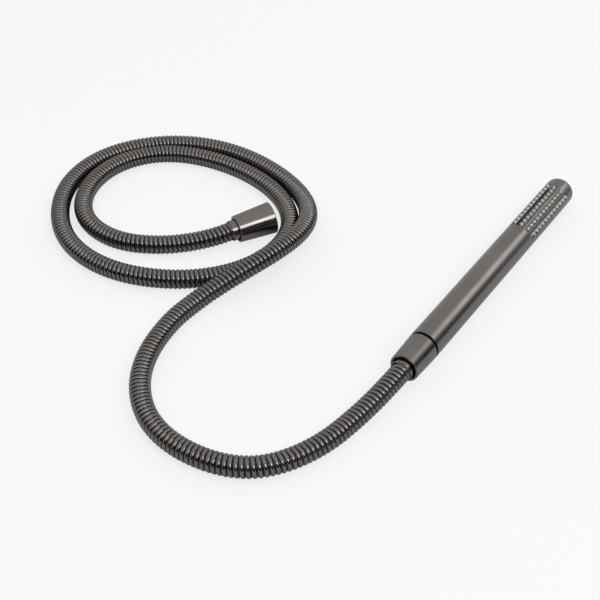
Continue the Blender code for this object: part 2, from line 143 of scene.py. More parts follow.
# Rings of holes in the sieve: (radius, count)
SIEVE_RINGS = ((1.4 * MM, 6), (2.7 * MM, 12), (4.0 * MM, 18))

# Hose
HOSE_R = 8.0 * MM
BAND_PITCH = 3.7 * MM
HOSE_SIDES = 30  # steps round the hose in one turn of its band
HOSE_TUCK = 3.5 * MM  # how far the hose reaches into each ferrule
HOSE_POINTS = 3200  # points on the centreline
SPLINE_SAMPLES = 8000
BEND_WINDOW = 31  # points over which the hose's curvature is evened out
STRETCH_LIMITS = (0.85, 1.2)  # how far a bend may stretch or squeeze the surface locally
PATH_STEP = 8  # every eighth point of the centreline goes into the path that make_hose returns
# One band of the hose: (distance from its middle along the hose, radius)
BAND_PROFILE = [
    (-1.46 * MM, 7.1 * MM), (-1.33 * MM, 7.46 * MM), (-0.8 * MM, 7.77 * MM), (0.0, 8.0 * MM),
    (0.8 * MM, 7.77 * MM), (1.33 * MM, 7.46 * MM), (1.46 * MM, 7.1 * MM),
]
# The hose's centreline, in millimetres, from the handset to the wall nut, as in the CAD model
HOSE_ROUTE = [
    (0, -142, 12.5), (0, -150, 12.5), (-1, -166, 11.3), (-3, -184, 9.5), (-6, -204, 8.2),
    (-12, -231, 8), (-35, -269, 8), (-77, -285, 8), (-121, -278, 8), (-155, -249, 8),
    (-172, -208, 8), (-174, -163, 8.5), (-160, -121, 17.1), (-149, -77, 20.5), (-156, -33, 15.3),
    (-185, 1, 9.3), (-226, 19, 8), (-271, 24, 8), (-315, 14, 8), (-351, -13, 8),
    (-371, -53, 8), (-368, -97, 8), (-344, -136, 8), (-307, -162, 8), (-262, -169, 8),
    (-219, -157, 8), (-183, -130, 8), (-162.5, -90, 8), (-166.5, -45, 8), (-197, -12, 8),
    (-240, 3, 8), (-285, 3, 8), (-327, -13, 8), (-352, -49, 8), (-349, -94, 8),
    (-321, -128, 8), (-277, -136, 8), (-237, -116, 8), (-212.5, -91.1, 10.1),
    (-204.65, -77.54, 11.08),
]

# Camera, as the photograph was taken
CAMERA_PLACE = Vector((259.3, -646.6, 571.0)) * MM
CAMERA_FORWARD = Vector((-0.56708, 0.82366, 0))
CAMERA_PITCH = math.radians(41.0)
CAMERA_LENS = 65.57
SENSOR = 36.0
CLIP_START = 0.02

# Studio: brightness of its parts as radiance, seen in reflections only
CEILING = 0.68
WALLS = 0.58
UNLIT = 0.02
UNLIT_SIDE = (1.0, 0.0, 0.0)  # directions of the two unlit parts
UNLIT_FRONT = (0.567, -0.824, 0.0)
FLOOR_REACH = 12.0
FLOOR_GREY = (0.8, 0.8, 0.8)
# The camera sees the floor as this share of an even glow and the rest lit by the lamps
GLOW_SHARE = 0.62
GLOW = 1.18
LAMP_TARGET = Vector((-0.12, -0.06, 0))
LAMP_DISTANCE = 2.5
# Softboxes: (name, direction from the target, width and height, radiance)
SOFTBOXES = [
    ("key", (0.699, -0.194, 0.688), (1.1, 0.95), 3.5),
    ("rim", (0.421, 0.716, 0.558), (1.0, 0.8), 1.15),
    ("front", (0.394, -0.572, 0.719), (0.9, 0.6), 1.9),
]


# --- Materials -----------------------------------------------------------------------------------


def new_material(name, colour, metallic, roughness):
    """A Principled material; returns the material, its node tree and its shader."""
    material = bpy.data.materials.new(name)
    material.use_nodes = True
    tree = material.node_tree
    shader = tree.nodes["Principled BSDF"]
    shader.inputs["Base Color"].default_value = (*colour, 1)
    shader.inputs["Metallic"].default_value = metallic
    shader.inputs["Roughness"].default_value = roughness
    return material, tree, shader


def object_noise(tree, scale, detail=3.0, stretch=(1, 1, 1)):
    """A noise texture on the object's own coordinates; returns its value socket."""
    place = tree.nodes.new("ShaderNodeTexCoord")
    mapping = tree.nodes.new("ShaderNodeMapping")
    mapping.inputs["Scale"].default_value = stretch
    noise = tree.nodes.new("ShaderNodeTexNoise")
    noise.inputs["Scale"].default_value = scale
    noise.inputs["Detail"].default_value = detail
    tree.links.new(place.outputs["Object"], mapping.inputs["Vector"])
    tree.links.new(mapping.outputs["Vector"], noise.inputs["Vector"])
    return noise.outputs["Fac"]


NOISE_RANGE = (0.3, 0.7)  # where nearly all of a noise's values lie


def vary(tree, value, low, high, socket):
    """Vary a shader input from low to high by a noise value."""
    spread = tree.nodes.new("ShaderNodeMapRange")
    spread.inputs["From Min"].default_value, spread.inputs["From Max"].default_value = NOISE_RANGE
    spread.inputs["To Min"].default_value = low
    spread.inputs["To Max"].default_value = high
    tree.links.new(value, spread.inputs["Value"])
    tree.links.new(spread.outputs["Result"], socket)


def vary_colour(tree, value, first, second, socket):
    """Vary a colour input from the first colour to the second by a noise value."""
    ramp = tree.nodes.new("ShaderNodeValToRGB")
    for stop, place, colour in zip(ramp.color_ramp.elements, NOISE_RANGE, (first, second)):
        stop.position = place
        stop.color = (*colour, 1)
    tree.links.new(value, ramp.inputs["Fac"])
    tree.links.new(ramp.outputs["Color"], socket)


def add_bump(tree, value, shader, strength, distance):
    bump = tree.nodes.new("ShaderNodeBump")
    bump.inputs["Strength"].default_value = strength
    bump.inputs["Distance"].default_value = distance
    tree.links.new(value, bump.inputs["Height"])
    tree.links.new(bump.outputs["Normal"], shader.inputs["Normal"])


def shaded(colour, factor):
    return tuple(channel * factor for channel in colour)


def metal(name, colour, roughness, spread=0.05, brushed=None, bump=0.0):
    """A coated metal: cloudy roughness, a faint change of tone, and fine brushing along an axis."""
    material, tree, shader = new_material(name, colour, 1.0, roughness)
    vary(tree, object_noise(tree, 60.0, 4.0), roughness - spread, roughness + spread,
         shader.inputs["Roughness"])
    vary_colour(tree, object_noise(tree, 25.0), shaded(colour, 0.93), shaded(colour, 1.07),
                shader.inputs["Base Color"])
    if brushed:
        add_bump(tree, object_noise(tree, 400.0, 6.0, brushed), shader, bump, 0.05 * MM)
    return material


def moulded(name, colour, roughness):
    """Moulded plastic or rubber with a fine grain; returns the material and its shader."""
    material, tree, shader = new_material(name, colour, 0.0, roughness)
    vary(tree, object_noise(tree, 150.0), roughness - 0.08, roughness + 0.08,
         shader.inputs["Roughness"])
    vary_colour(tree, object_noise(tree, 300.0), shaded(colour, 0.95), shaded(colour, 1.05),
                shader.inputs["Base Color"])
    add_bump(tree, object_noise(tree, 900.0, 4.0), shader, 0.15, 0.04 * MM)
    return material, shader


GUNMETAL = (0.245, 0.23, 0.22)
ALONG = (1, 1, 0.02)  # brushing lines that run along local Z
AROUND = (0.05, 0.05, 1)  # brushing lines that run round local Z


def make_materials():
    silicone, silicone_shader = moulded("white_silicone", (0.84, 0.82, 0.8), 0.42)
    silicone_shader.inputs["Subsurface Weight"].default_value = 0.35
    silicone_shader.inputs["Subsurface Radius"].default_value = (1.0, 0.9, 0.8)
    silicone_shader.inputs["Subsurface Scale"].default_value = 1.2 * MM
    rubber, rubber_shader = moulded("black_rubber", (0.022, 0.022, 0.022), 0.65)
    rubber_shader.inputs["Specular IOR Level"].default_value = 0.35
    return {
        "tube": metal("gunmetal_satin", GUNMETAL, 0.24, 0.03, ALONG, 0.05),
        "nut": metal("gunmetal_bright", GUNMETAL, 0.17, 0.03, AROUND, 0.04),
        "ferrule": metal("gunmetal_ferrule", shaded(GUNMETAL, 0.95), 0.16, 0.04, AROUND, 0.08),
        "hose": metal("gunmetal_hose_band", shaded(GUNMETAL, 0.95), 0.21, 0.05, (1, 1, 1), 0.03),
        # painted shade: the gunmetal of the groove between the hose's turns, darkened for the shade
        # in the narrow groove
        "hose_groove_painted_shade": metal("gunmetal_hose_groove_painted_shade", shaded(GUNMETAL, 0.14), 0.3, 0.05),
        # painted shade: near-black metal for the end plug in the groove below the tube and for the
        # channel between the first two rows
        "dark_metal": metal("dark_brass_painted_shade", (0.02, 0.019, 0.018), 0.4, 0.08, AROUND, 0.1),
        "brass": metal("turned_brass", (0.72, 0.55, 0.25), 0.28, 0.06, AROUND, 0.2),
        "steel": metal("screen_steel", (0.55, 0.55, 0.55), 0.3, 0.08, AROUND, 0.1),
        "silicone": silicone,
        # painted shade: the strips' webs are the white silicone darkened as if shaded in their
        # slots, the inner rows darker than the outer
        "inner_web_painted_shade": moulded("silicone_web_painted_deep_shade", (0.15, 0.145, 0.14), 0.5)[0],
        "outer_web_painted_shade": moulded("silicone_web_painted_shade", (0.36, 0.35, 0.34), 0.5)[0],
        "rubber": rubber,
        "core": moulded("natural_acetal", (0.75, 0.75, 0.73), 0.45)[0],
        "nylon": moulded("natural_nylon", (0.85, 0.84, 0.8), 0.45)[0],
        "blue": moulded("blue_restrictor", (0.12, 0.22, 0.5), 0.4)[0],
    }


MATERIALS = make_materials()

# Material of each CAD node that is kept
NODE_MATERIALS = {
    "spray_core": "core",
    "core_o_ring": "rubber",
    "supply_tube": "core",
    # the end plug is dark where the groove at the tube's foot is shaded: painted shade
    "end_plug": "dark_metal",
    "plug_o_ring": "rubber",
    "pipe_o_ring": "rubber",
    "flow_restrictor": "blue",
    "handset_tail": "brass",
    "handset_slip_ring": "nylon",
    "handset_washer": "rubber",
    "handset_liner_end": "nylon",
    "wall_tail": "brass",
    "wall_slip_ring": "nylon",
    "wall_liner_end": "nylon",
}


def paint_nodes():
    for node, key in NODE_MATERIALS.items():
        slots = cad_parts[node].data.materials
        slots.clear()
        slots.append(MATERIALS[key])


# --- Mesh tools ----------------------------------------------------------------------------------

LONG_RUN = 3.0 * MM  # a straight run longer than this gets a point beside its fillets
HOLD = 0.25 * MM  # how far from the fillet that point is
TINY = 1e-9


def new_piece(name, mesh, materials, crease=40.0):
    """A smooth-shaded object with the materials of these keys; crease is its sharp angle."""
    obj = bpy.data.objects.new(name, mesh)
    bpy.context.scene.collection.objects.link(obj)
    for key in materials:
        mesh.materials.append(MATERIALS[key])
    mesh.shade_smooth()
    mesh.set_sharp_from_angle(angle=math.radians(crease))
    return obj


def finish_mesh(work, name, weld=0.001 * MM):
    """Weld the bmesh, turn its faces outward and return it as a mesh."""
    bmesh.ops.remove_doubles(work, verts=work.verts, dist=weld)
    bmesh.ops.recalc_face_normals(work, faces=work.faces)
    mesh = bpy.data.meshes.new(name)
    work.to_mesh(mesh)
    work.free()
    return mesh


def axis_frame(origin, direction):
    """A matrix at origin whose +Z runs along direction."""
    turn = Vector((0, 0, 1)).rotation_difference(direction)
    return Matrix.Translation(origin) @ turn.to_matrix().to_4x4()


def filleted(corners, steps=5):
    """A closed profile's points, with each corner (radius, height, fillet) rounded by its fillet.
    On a long straight run a point beside the fillet keeps the shading of the run straight."""
    points = []
    count = len(corners)
    for i, (r, h, fillet) in enumerate(corners):
        here = Vector((r, h))
        if not fillet:
            points.append(here)
            continue
        before = Vector(corners[i - 1][:2]) - here
        after = Vector(corners[(i + 1) % count][:2]) - here
        half = before.angle(after) / 2
        reach = fillet / math.tan(half)
        inward = (before.normalized() + after.normalized()).normalized()
        middle = here + inward * fillet / math.sin(half)
        start = here + before.normalized() * reach - middle
        end = here + after.normalized() * reach - middle
        if before.length > LONG_RUN:
            points.append(here + before.normalized() * (reach + HOLD))
        for k in range(steps + 1):
            points.append(middle + start.lerp(end, k / steps).normalized() * fillet)
        if after.length > LONG_RUN:
            points.append(here + after.normalized() * (reach + HOLD))
    return points


def lathe_strip(work, profile, segments, closed=False):
    """Add the surface that an open or closed profile of (radius, height) sweeps round local Z."""
    rings = []
    for r, h in profile:
        if r < TINY:
            rings.append([work.verts.new((0, 0, h))])
            continue
        rings.append([
            work.verts.new((r * math.cos(a), r * math.sin(a), h))
            for a in np.linspace(0, 2 * math.pi, segments, endpoint=False)
        ])
    pairs = list(zip(rings, rings[1:]))
    if closed:
        pairs.append((rings[-1], rings[0]))
    for low, high in pairs:
        for k in range(segments):
            nxt = (k + 1) % segments
            corners = list(dict.fromkeys([
                low[k % len(low)], low[nxt % len(low)], high[nxt % len(high)], high[k % len(high)],
            ]))
            if len(corners) > 2:
                work.faces.new(corners)


def turned(name, profile, place, material):
    """A closed solid of revolution about local Z, put at place."""
    work = bmesh.new()
    lathe_strip(work, profile, 96, closed=True)
    obj = new_piece(name, finish_mesh(work, name), [material])
    obj.matrix_world = place
    return obj


def stadium(centre, straight, radius, turns, sides):
    """Points round a stadium whose straight sides run along v; turns steps round each end and sides
    steps along each side. With no straight part it is a circle."""
    angles = np.linspace(0, math.pi, turns + 1)
    half = [(radius * math.cos(a), straight + radius * math.sin(a)) for a in angles]
    if straight:
        half += [(-radius, v) for v in np.linspace(straight, -straight, sides + 1)[1:-1]]
    else:
        half.pop()
    outline = half + [(-u, -v) for u, v in half]
    return [(centre[0] + u, centre[1] + v) for u, v in outline]


def within(point, centre, straight, radius):
    """True if the point lies in the stadium."""
    u, v = point[0] - centre[0], point[1] - centre[1]
    v -= max(-straight, min(straight, v))
    return math.hypot(u, v) < radius


def perforated(outline, holes, extra=()):
    """Triangulate a convex outline round its holes. outline is a list of (u, v), holes a list of
    (points, test), and extra are more points to use. Returns (points, triangles)."""
    points, edges = [], []
    for loop in [outline] + [hole for hole, _ in holes]:
        first = len(points)
        points += [Vector(p) for p in loop]
        edges += [(first + i, first + (i + 1) % len(loop)) for i in range(len(loop))]
    points += [Vector(p) for p in extra]
    flat, _, faces, *_ = delaunay_2d_cdt(points, edges, [], 0, TINY)
    kept = []
    for face in faces:
        middle = sum((flat[i] for i in face), Vector((0, 0))) / len(face)
        if not any(inside(middle) for _, inside in holes):
            kept.append(face)
    return flat, kept


def add_sheet(work, flat, faces, wrap, paint=0):
    """Add triangles, each (u, v) put in space by wrap; paint is their material's index."""
    verts = [work.verts.new(wrap(u, v)) for u, v in flat]
    for face in faces:
        if len(set(face)) == 3:
            work.faces.new([verts[i] for i in face]).material_index = paint


def add_walls(work, loops, paint=0):
    """Add quads between successive closed loops of points with the same count."""
    rings = [[work.verts.new(p) for p in loop] for loop in loops]
    count = len(rings[0])
    for low, high in zip(rings, rings[1:]):
        for k in range(count):
            nxt = (k + 1) % count
            work.faces.new((low[k], low[nxt], high[nxt], high[k])).material_index = paint


# --- Handset -------------------------------------------------------------------------------------

HANDSET_FRAME = axis_frame(Vector((0, 0, HANDSET_Z)), Vector((0, 1, 0)))


def row_angle(row):
    return FACE_ROLL + (row - (len(ROWS) - 1) / 2) * ROW_STEP


def wrap_at(radius, turn=0.0):
    """Roll the flat (u, v) sheet onto the handset's axis at a radius; u is measured at the tube's
    surface. Local -Y of HANDSET_FRAME is up."""

    def wrap(u, v):
        a = u / TUBE_R + turn
        return (radius * math.sin(a), -radius * math.cos(a), v)

    return wrap


def tip_outside():
    """The domed tip's profile, from the tube's side to its middle."""
    flat_r = TUBE_R - TIP_CORNER
    crown = [(flat_r * q, TIP_Y - TIP_CROWN * q * q) for q in np.linspace(1, 0, 9)]
    corner_y = crown[0][1] - TIP_CORNER
    corner = [
        (flat_r + TIP_CORNER * math.cos(a), corner_y + TIP_CORNER * math.sin(a))
        for a in np.radians(np.linspace(0, 78, 10))
    ]
    return corner + crown[:-1] + [(0, TIP_Y)]


def slots():
    """The four slots on the flat sheet: each one's middle, half its straight part and radius."""
    return [
        ((row_angle(row) * TUBE_R, middle), (length - SLOT_WIDTH) / 2, SLOT_WIDTH / 2)
        for row, (length, middle, _) in enumerate(ROWS)
    ]


def channel():
    """The channel painted dark as shade, on the flat sheet, given as a slot is."""
    low, high = CHANNEL_SPAN
    centre = (CHANNEL_ANGLE * TUBE_R, (low + high) / 2)
    return centre, (high - low - CHANNEL_WIDTH) / 2, CHANNEL_WIDTH / 2


def slot_loop(slot, grow, radius):
    """One ring round a slot, grow wider than it, rolled at a radius."""
    centre, straight, width = slot
    wrap = wrap_at(radius)
    return [wrap(u, v) for u, v in stadium(centre, straight, width + grow, SLOT_TURNS, SLOT_SIDES)]


def slotted_sheet(openings, grow):
    """The flat sheet of the tube's slotted stretch, with holes grow wider than the openings."""
    around = 2 * math.pi * TUBE_R
    low, high = SLOT_ZONE
    # the sheet is cut open on the tube's underside
    left = FACE_ROLL * TUBE_R - around / 2
    us = left + np.linspace(0, around, TUBE_SEGMENTS + 1)
    vs = np.linspace(low, high, 40)
    outline = [(u, low) for u in us[:-1]] + [(us[-1], v) for v in vs[:-1]]
    outline += [(u, high) for u in us[:0:-1]] + [(us[0], v) for v in vs[:0:-1]]
    holes = []
    for centre, straight, width in openings:
        loop = stadium(centre, straight, width + grow, SLOT_TURNS, SLOT_SIDES)
        holes.append((loop, lambda p, c=centre, s=straight, w=width: within(p, c, s, w + grow)))
    clear = grow + SLOT_CLEAR
    extra = [
        (u, v) for u in us[1:-1] for v in vs[1:-1]
        if not any(within((u, v), c, s, w + clear) for c, s, w in openings)
    ]
    return perforated(outline, holes, extra)


def make_handset_tube():
    """The tube with its domed tip, four slots with softened rims and the channel painted dark as
    shade.
    """
    work = bmesh.new()
    low, high = SLOT_ZONE
    add_sheet(work, *slotted_sheet(slots() + [channel()], SLOT_RIM), wrap_at(TUBE_R))
    add_sheet(work, *slotted_sheet(slots(), 0.0), wrap_at(BORE_R))
    for slot in slots():
        add_walls(work, [
            slot_loop(slot, SLOT_RIM, TUBE_R),
            slot_loop(slot, 0.14 * MM, TUBE_R - 0.04 * MM),
            slot_loop(slot, 0.04 * MM, TUBE_R - 0.14 * MM),
            slot_loop(slot, 0.0, TUBE_R - SLOT_RIM),
            slot_loop(slot, 0.0, BORE_R),
        ])
    centre, straight, width = channel()
    # the channel's walls and floor take the second material: painted shade between the first two
    # rows
    add_walls(work, [
        slot_loop(channel(), SLOT_RIM, TUBE_R),
        slot_loop(channel(), 0.1 * MM, TUBE_R - 0.1 * MM),
        slot_loop(channel(), 0.0, TUBE_R - CHANNEL_DEPTH),
    ], paint=1)
    flat, faces = perforated(stadium(centre, straight, width, SLOT_TURNS, SLOT_SIDES), [])
    add_sheet(work, flat, faces, wrap_at(TUBE_R - CHANNEL_DEPTH), paint=1)
    # turn the lathe's first column onto the sheet's cut edge
    seam = FACE_ROLL + math.pi
    first = Matrix.Rotation(math.atan2(-math.cos(seam), math.sin(seam)), 4, "Z")
    ends = bmesh.new()
    foot = [
        (TUBE_R, low), (TUBE_R, TUBE_FOOT_Y + FOOT_EDGE + HOLD), (TUBE_R, TUBE_FOOT_Y + FOOT_EDGE),
        (TUBE_R - 0.1 * MM, TUBE_FOOT_Y + 0.1 * MM),
        (TUBE_R - FOOT_EDGE, TUBE_FOOT_Y), (BORE_R, TUBE_FOOT_Y), (BORE_R, low),
    ]
    lathe_strip(ends, foot, TUBE_SEGMENTS)
    lathe_strip(ends, [(TUBE_R, high)] + tip_outside(), TUBE_SEGMENTS)
    inside_y = TIP_Y - TIP_DEPTH
    lathe_strip(ends, [
        (BORE_R, high), (BORE_R, inside_y - TIP_CORNER), (BORE_R - TIP_CORNER, inside_y),
        (0, inside_y),
    ], TUBE_SEGMENTS)
    scratch = bpy.data.meshes.new("tube_ends")
    bmesh.ops.transform(ends, matrix=first, verts=ends.verts)
    ends.to_mesh(scratch)
    ends.free()
    work.from_mesh(scratch)
    bpy.data.meshes.remove(scratch)
    mesh = finish_mesh(work, "handset_tube", 0.004 * MM)
    obj = new_piece("handset_tube", mesh, ["tube", "dark_metal"])
    obj.matrix_world = HANDSET_FRAME
    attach(obj, "handset")
    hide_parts("handset_shell")


def make_silicone_strip(row):
    """A silicone rib with rounded edges and a row of bored jets that stand out of it."""
    turn = row_angle(row)
    slot_length, middle, jets_middle = ROWS[row]
    width = STRIP_WIDTH / 2
    straight = (slot_length - SLOT_WIDTH) / 2

    def outline(shrink):
        return stadium((0, middle), straight, width - shrink, STRIP_TURNS, STRIP_SIDES)

    def ring(shrink, radius):
        wrap = wrap_at(radius, turn)
        return [wrap(u, v) for u, v in outline(shrink)]

    work = bmesh.new()
    first = jets_middle - (JETS_PER_ROW - 1) / 2 * JET_PITCH
    jets = [(0.0, first + i * JET_PITCH) for i in range(JETS_PER_ROW)]
    holes = [
        (stadium(jet, 0, JET_BASE, JET_TURNS, 0), lambda p, c=jet: within(p, c, 0, JET_BASE * 0.98))
        for jet in jets
    ]
    # the rib's top, sides and foot take the web material, painted shade darker than the jets
    add_sheet(work, *perforated(outline(STRIP_EDGE), holes), wrap_at(STRIP_TOP_R, turn), paint=1)
    bevel = 0.3 * STRIP_EDGE
    add_walls(work, [
        ring(STRIP_EDGE, STRIP_TOP_R), ring(bevel, STRIP_TOP_R - bevel),
        ring(0, STRIP_TOP_R - STRIP_EDGE), ring(0, STRIP_FOOT_R),
    ], paint=1)
    add_sheet(work, *perforated(outline(0), []), wrap_at(STRIP_FOOT_R, turn), paint=1)
    # from the foot of a jet over its rounded tip and down its bore: (radius, height)
    stages = [
        (JET_BASE, STRIP_TOP_R), (JET_BASE * 0.95, STRIP_TOP_R + 0.12 * MM),
        (JET_TOP, JET_TIP_R - 0.4 * MM), (JET_TOP * 0.93, JET_TIP_R - 0.18 * MM),
        (JET_TOP * 0.75, JET_TIP_R - 0.04 * MM), (JET_TOP * 0.55, JET_TIP_R),
        (JET_BORE, JET_TIP_R - 0.03 * MM), (JET_BORE * 0.85, JET_TIP_R - JET_DEPTH),
    ]
    for jet in jets:
        loops = []
        for r, height in stages:
            wrap = wrap_at(height, turn)
            loops.append([wrap(u, v) for u, v in stadium(jet, 0, r, JET_TURNS, 0)])
        add_walls(work, loops)
        work.faces.new([work.verts.new(p) for p in loops[-1]])
    name = f"silicone_strip_{row + 1}"
    # inner rows get the deeper painted shade, outer rows the lighter one
    web = "inner_web_painted_shade" if ROWS[row] == INNER_ROW else "outer_web_painted_shade"
    obj = new_piece(name, finish_mesh(work, name), ["silicone", web], 50)
    obj.matrix_world = HANDSET_FRAME
    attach(obj, "handset")
    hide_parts(f"nozzle_strip_{row + 1}")


# --- Nuts and ferrules ---------------------------------------------------------------------------


def nut_profile(length, radii, mouth_bore, shoulder, edge):
    """A cone nut's profile: small end at height 0, threaded socket in the big end."""
    small, big = radii
    low, high = shoulder
    return filleted([
        (big, length, edge),
        (small, 0, edge),
        (mouth_bore, 0, 0.25 * MM),
        (mouth_bore, low, 0),
        (NUT_NECK_R, low, 0),
        (NUT_NECK_R, high, 0),
        (THREAD_BORE_R, high, 0),
        (THREAD_BORE_R, length, 0.5 * MM),
    ])


def ferrule_profile(low, high):
    """A crimped sleeve: its mouth takes the end of the hose, its lip closes on the tail."""
    return filleted([
        (FERRULE_R, high, 0.3 * MM),
        (FERRULE_R, low, 0.3 * MM),
        (FERRULE_MOUTH_R, low, 0.15 * MM),
        (FERRULE_MOUTH_R, low + HOSE_TUCK, 0),
        (NUT_NECK_R, low + HOSE_TUCK, 0),
        (NUT_NECK_R, high - FERRULE_LIP, 0),
        (FERRULE_LIP_R, high - FERRULE_LIP, 0),
        (FERRULE_LIP_R, high, 0),
    ])


def wall_frame():
    """The wall nut's frame: it rests on the floor by both ends of its cone. Local Y stays upright,
    so that the pieces' own boxes stay inside the model's."""
    tilt = math.atan((WALL_NUT_R[1] - WALL_NUT_R[0]) / WALL_NUT_LENGTH)
    axis = Vector((
        math.cos(tilt) * math.sin(WALL_NUT_HEADING),
        math.cos(tilt) * math.cos(WALL_NUT_HEADING),
        math.sin(tilt),
    ))
    return Matrix.Translation(WALL_NUT_FOOT) @ axis.to_track_quat("Z", "Y").to_matrix().to_4x4()


HANDSET_END = axis_frame(HANDSET_MOUTH, Vector((0, 1, 0)))
WALL_END = wall_frame()


def make_handset_nut():
    profile = nut_profile(
        HANDSET_NUT_LENGTH, HANDSET_NUT_R, HANDSET_NUT_MOUTH_R, HANDSET_NUT_SHOULDER,
        HANDSET_NUT_EDGE,
    )
    nut = turned("handset_cone_nut", profile, HANDSET_END, "tube")
    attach(nut, "handset")
    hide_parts("handset_nut")


def make_wall_nut():
    profile = nut_profile(
        WALL_NUT_LENGTH, WALL_NUT_R, WALL_NUT_MOUTH_R, WALL_NUT_SHOULDER, WALL_NUT_EDGE,
    )
    nut = turned("wall_cone_nut", profile, WALL_END, "nut")
    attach(nut, "wall_nut")
    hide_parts("wall_nut")
    return nut


def make_ferrule(prefix, place, low, high):
    ferrule = turned(f"{prefix}_crimp_ferrule", ferrule_profile(low, high), place, "ferrule")
    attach(ferrule, "hose_line")
    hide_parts(f"{prefix}_ferrule")
    return ferrule


def make_wall_thread():
    """The G1/2 thread in the wall nut's socket: one ridge that winds round the bore."""
    length = WALL_NUT_LENGTH - THREAD_MARGIN - THREAD_START
    steps = int(length / THREAD_PITCH * THREAD_SIDES)
    work = bmesh.new()
    rows = []
    for step in range(steps + 1):
        a = 2 * math.pi * step / THREAD_SIDES
        fade = min(1.0, step / THREAD_RUN_OUT, (steps - step) / THREAD_RUN_OUT)
        row = []
        for part, share in THREAD_RIDGE:
            r = THREAD_ROOT_R - THREAD_DEPTH * share * fade
            height = THREAD_START + THREAD_PITCH * (step / THREAD_SIDES + part)
            row.append(work.verts.new((r * math.cos(a), r * math.sin(a), height)))
        rows.append(row)
    for low, high in zip(rows, rows[1:]):
        for k in range(len(THREAD_RIDGE)):
            nxt = (k + 1) % len(THREAD_RIDGE)
            work.faces.new((low[k], low[nxt], high[nxt], high[k]))
    work.faces.new(rows[0])
    work.faces.new(rows[-1])
    thread = new_piece("wall_nut_thread", finish_mesh(work, "wall_nut_thread"), ["brass"], 30)
    thread.matrix_world = WALL_END
    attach(thread, "wall_nut")


def make_wall_washer():
    low, high = WASHER_SPAN
    inner, outer = WASHER_R
    corners = ((outer, high), (outer, low), (inner, low), (inner, high))
    profile = filleted([(r, height, WASHER_EDGE) for r, height in corners])
    washer = turned("wall_seal_washer", profile, WALL_END, "rubber")
    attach(washer, "hose_line")
    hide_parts("wall_washer")


def make_inlet_screen():
    """A round sieve with rings of small holes."""
    centres = [(0.0, 0.0)]
    for ring, count in SIEVE_RINGS:
        centres += [
            (ring * math.cos(a), ring * math.sin(a))
            for a in np.linspace(0, 2 * math.pi, count, endpoint=False)
        ]
    outline = stadium((0, 0), 0, SIEVE_R, 32, 0)
    holes = [
        (stadium(c, 0, SIEVE_HOLE_R, 6, 0), lambda p, c=c: within(p, c, 0, SIEVE_HOLE_R * 0.95))
        for c in centres
    ]
    work = bmesh.new()
    flat, faces = perforated(outline, holes)
    loops = [outline] + [hole for hole, _ in holes]
    low, high = SIEVE_MIDDLE - SIEVE_THICK / 2, SIEVE_MIDDLE + SIEVE_THICK / 2
    for height in (low, high):
        add_sheet(work, flat, faces, lambda u, v, h=height: (u, v, h))
    for loop in loops:
        add_walls(work, [[(u, v, low) for u, v in loop], [(u, v, high) for u, v in loop]])
    screen = new_piece("wall_inlet_sieve", finish_mesh(work, "wall_inlet_sieve"), ["steel"])
    screen.matrix_world = WALL_END
    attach(screen, "hose_line")
    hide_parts("inlet_screen")


# --- Hose ----------------------------------------------------------------------------------------


def smooth_line(knots, count):
    """count points on a natural cubic spline through the knots, spaced evenly along it."""
    knots = np.array(knots, float)
    reach = np.linalg.norm(np.diff(knots, axis=0), axis=1) ** 0.5
    time = np.concatenate([[0], np.cumsum(reach)])
    size = len(knots)
    matrix = np.eye(size)
    right = np.zeros((size, 3))
    for i in range(1, size - 1):
        before, after = reach[i - 1], reach[i]
        matrix[i, i - 1 : i + 2] = before, 2 * (before + after), after
        right[i] = 6 * ((knots[i + 1] - knots[i]) / after - (knots[i] - knots[i - 1]) / before)
    bend = np.linalg.solve(matrix, right)
    times = np.linspace(0, time[-1], SPLINE_SAMPLES)
    k = np.clip(np.searchsorted(time, times, side="right") - 1, 0, size - 2)
    left, rest = (time[k + 1] - times)[:, None], (times - time[k])[:, None]
    step = reach[k][:, None]
    line = (
        (bend[k] * left**3 + bend[k + 1] * rest**3) / (6 * step)
        + (knots[k] / step - bend[k] * step / 6) * left
        + (knots[k + 1] / step - bend[k + 1] * step / 6) * rest
    )
    length = np.concatenate([[0], np.cumsum(np.linalg.norm(np.diff(line, axis=0), axis=1))])
    even = np.linspace(0, length[-1], count)
    return np.stack([np.interp(even, length, line[:, i]) for i in range(3)], axis=1)


def carried_normals(tangents):
    """A normal at each point of a line, carried along it without twisting."""
    normal = np.cross(tangents[0], (0, 0, 1.0))
    normal /= np.linalg.norm(normal)
    normals = []
    for tangent in tangents:
        normal = normal - tangent * (normal @ tangent)
        normal /= np.linalg.norm(normal)
        normals.append(normal)
    return np.array(normals)


def tucked_line(count):
    """The hose's centreline with a straight length added at each end, inside the ferrules."""
    line = smooth_line(HOSE_ROUTE, count) * MM
    line[:, 2] = np.maximum(line[:, 2], HOSE_R)
    start, end = line[0] - line[1], line[-1] - line[-2]
    start *= HOSE_TUCK / np.linalg.norm(start)
    end *= HOSE_TUCK / np.linalg.norm(end)
    return np.vstack([line[0] + start, line, line[-1] + end])


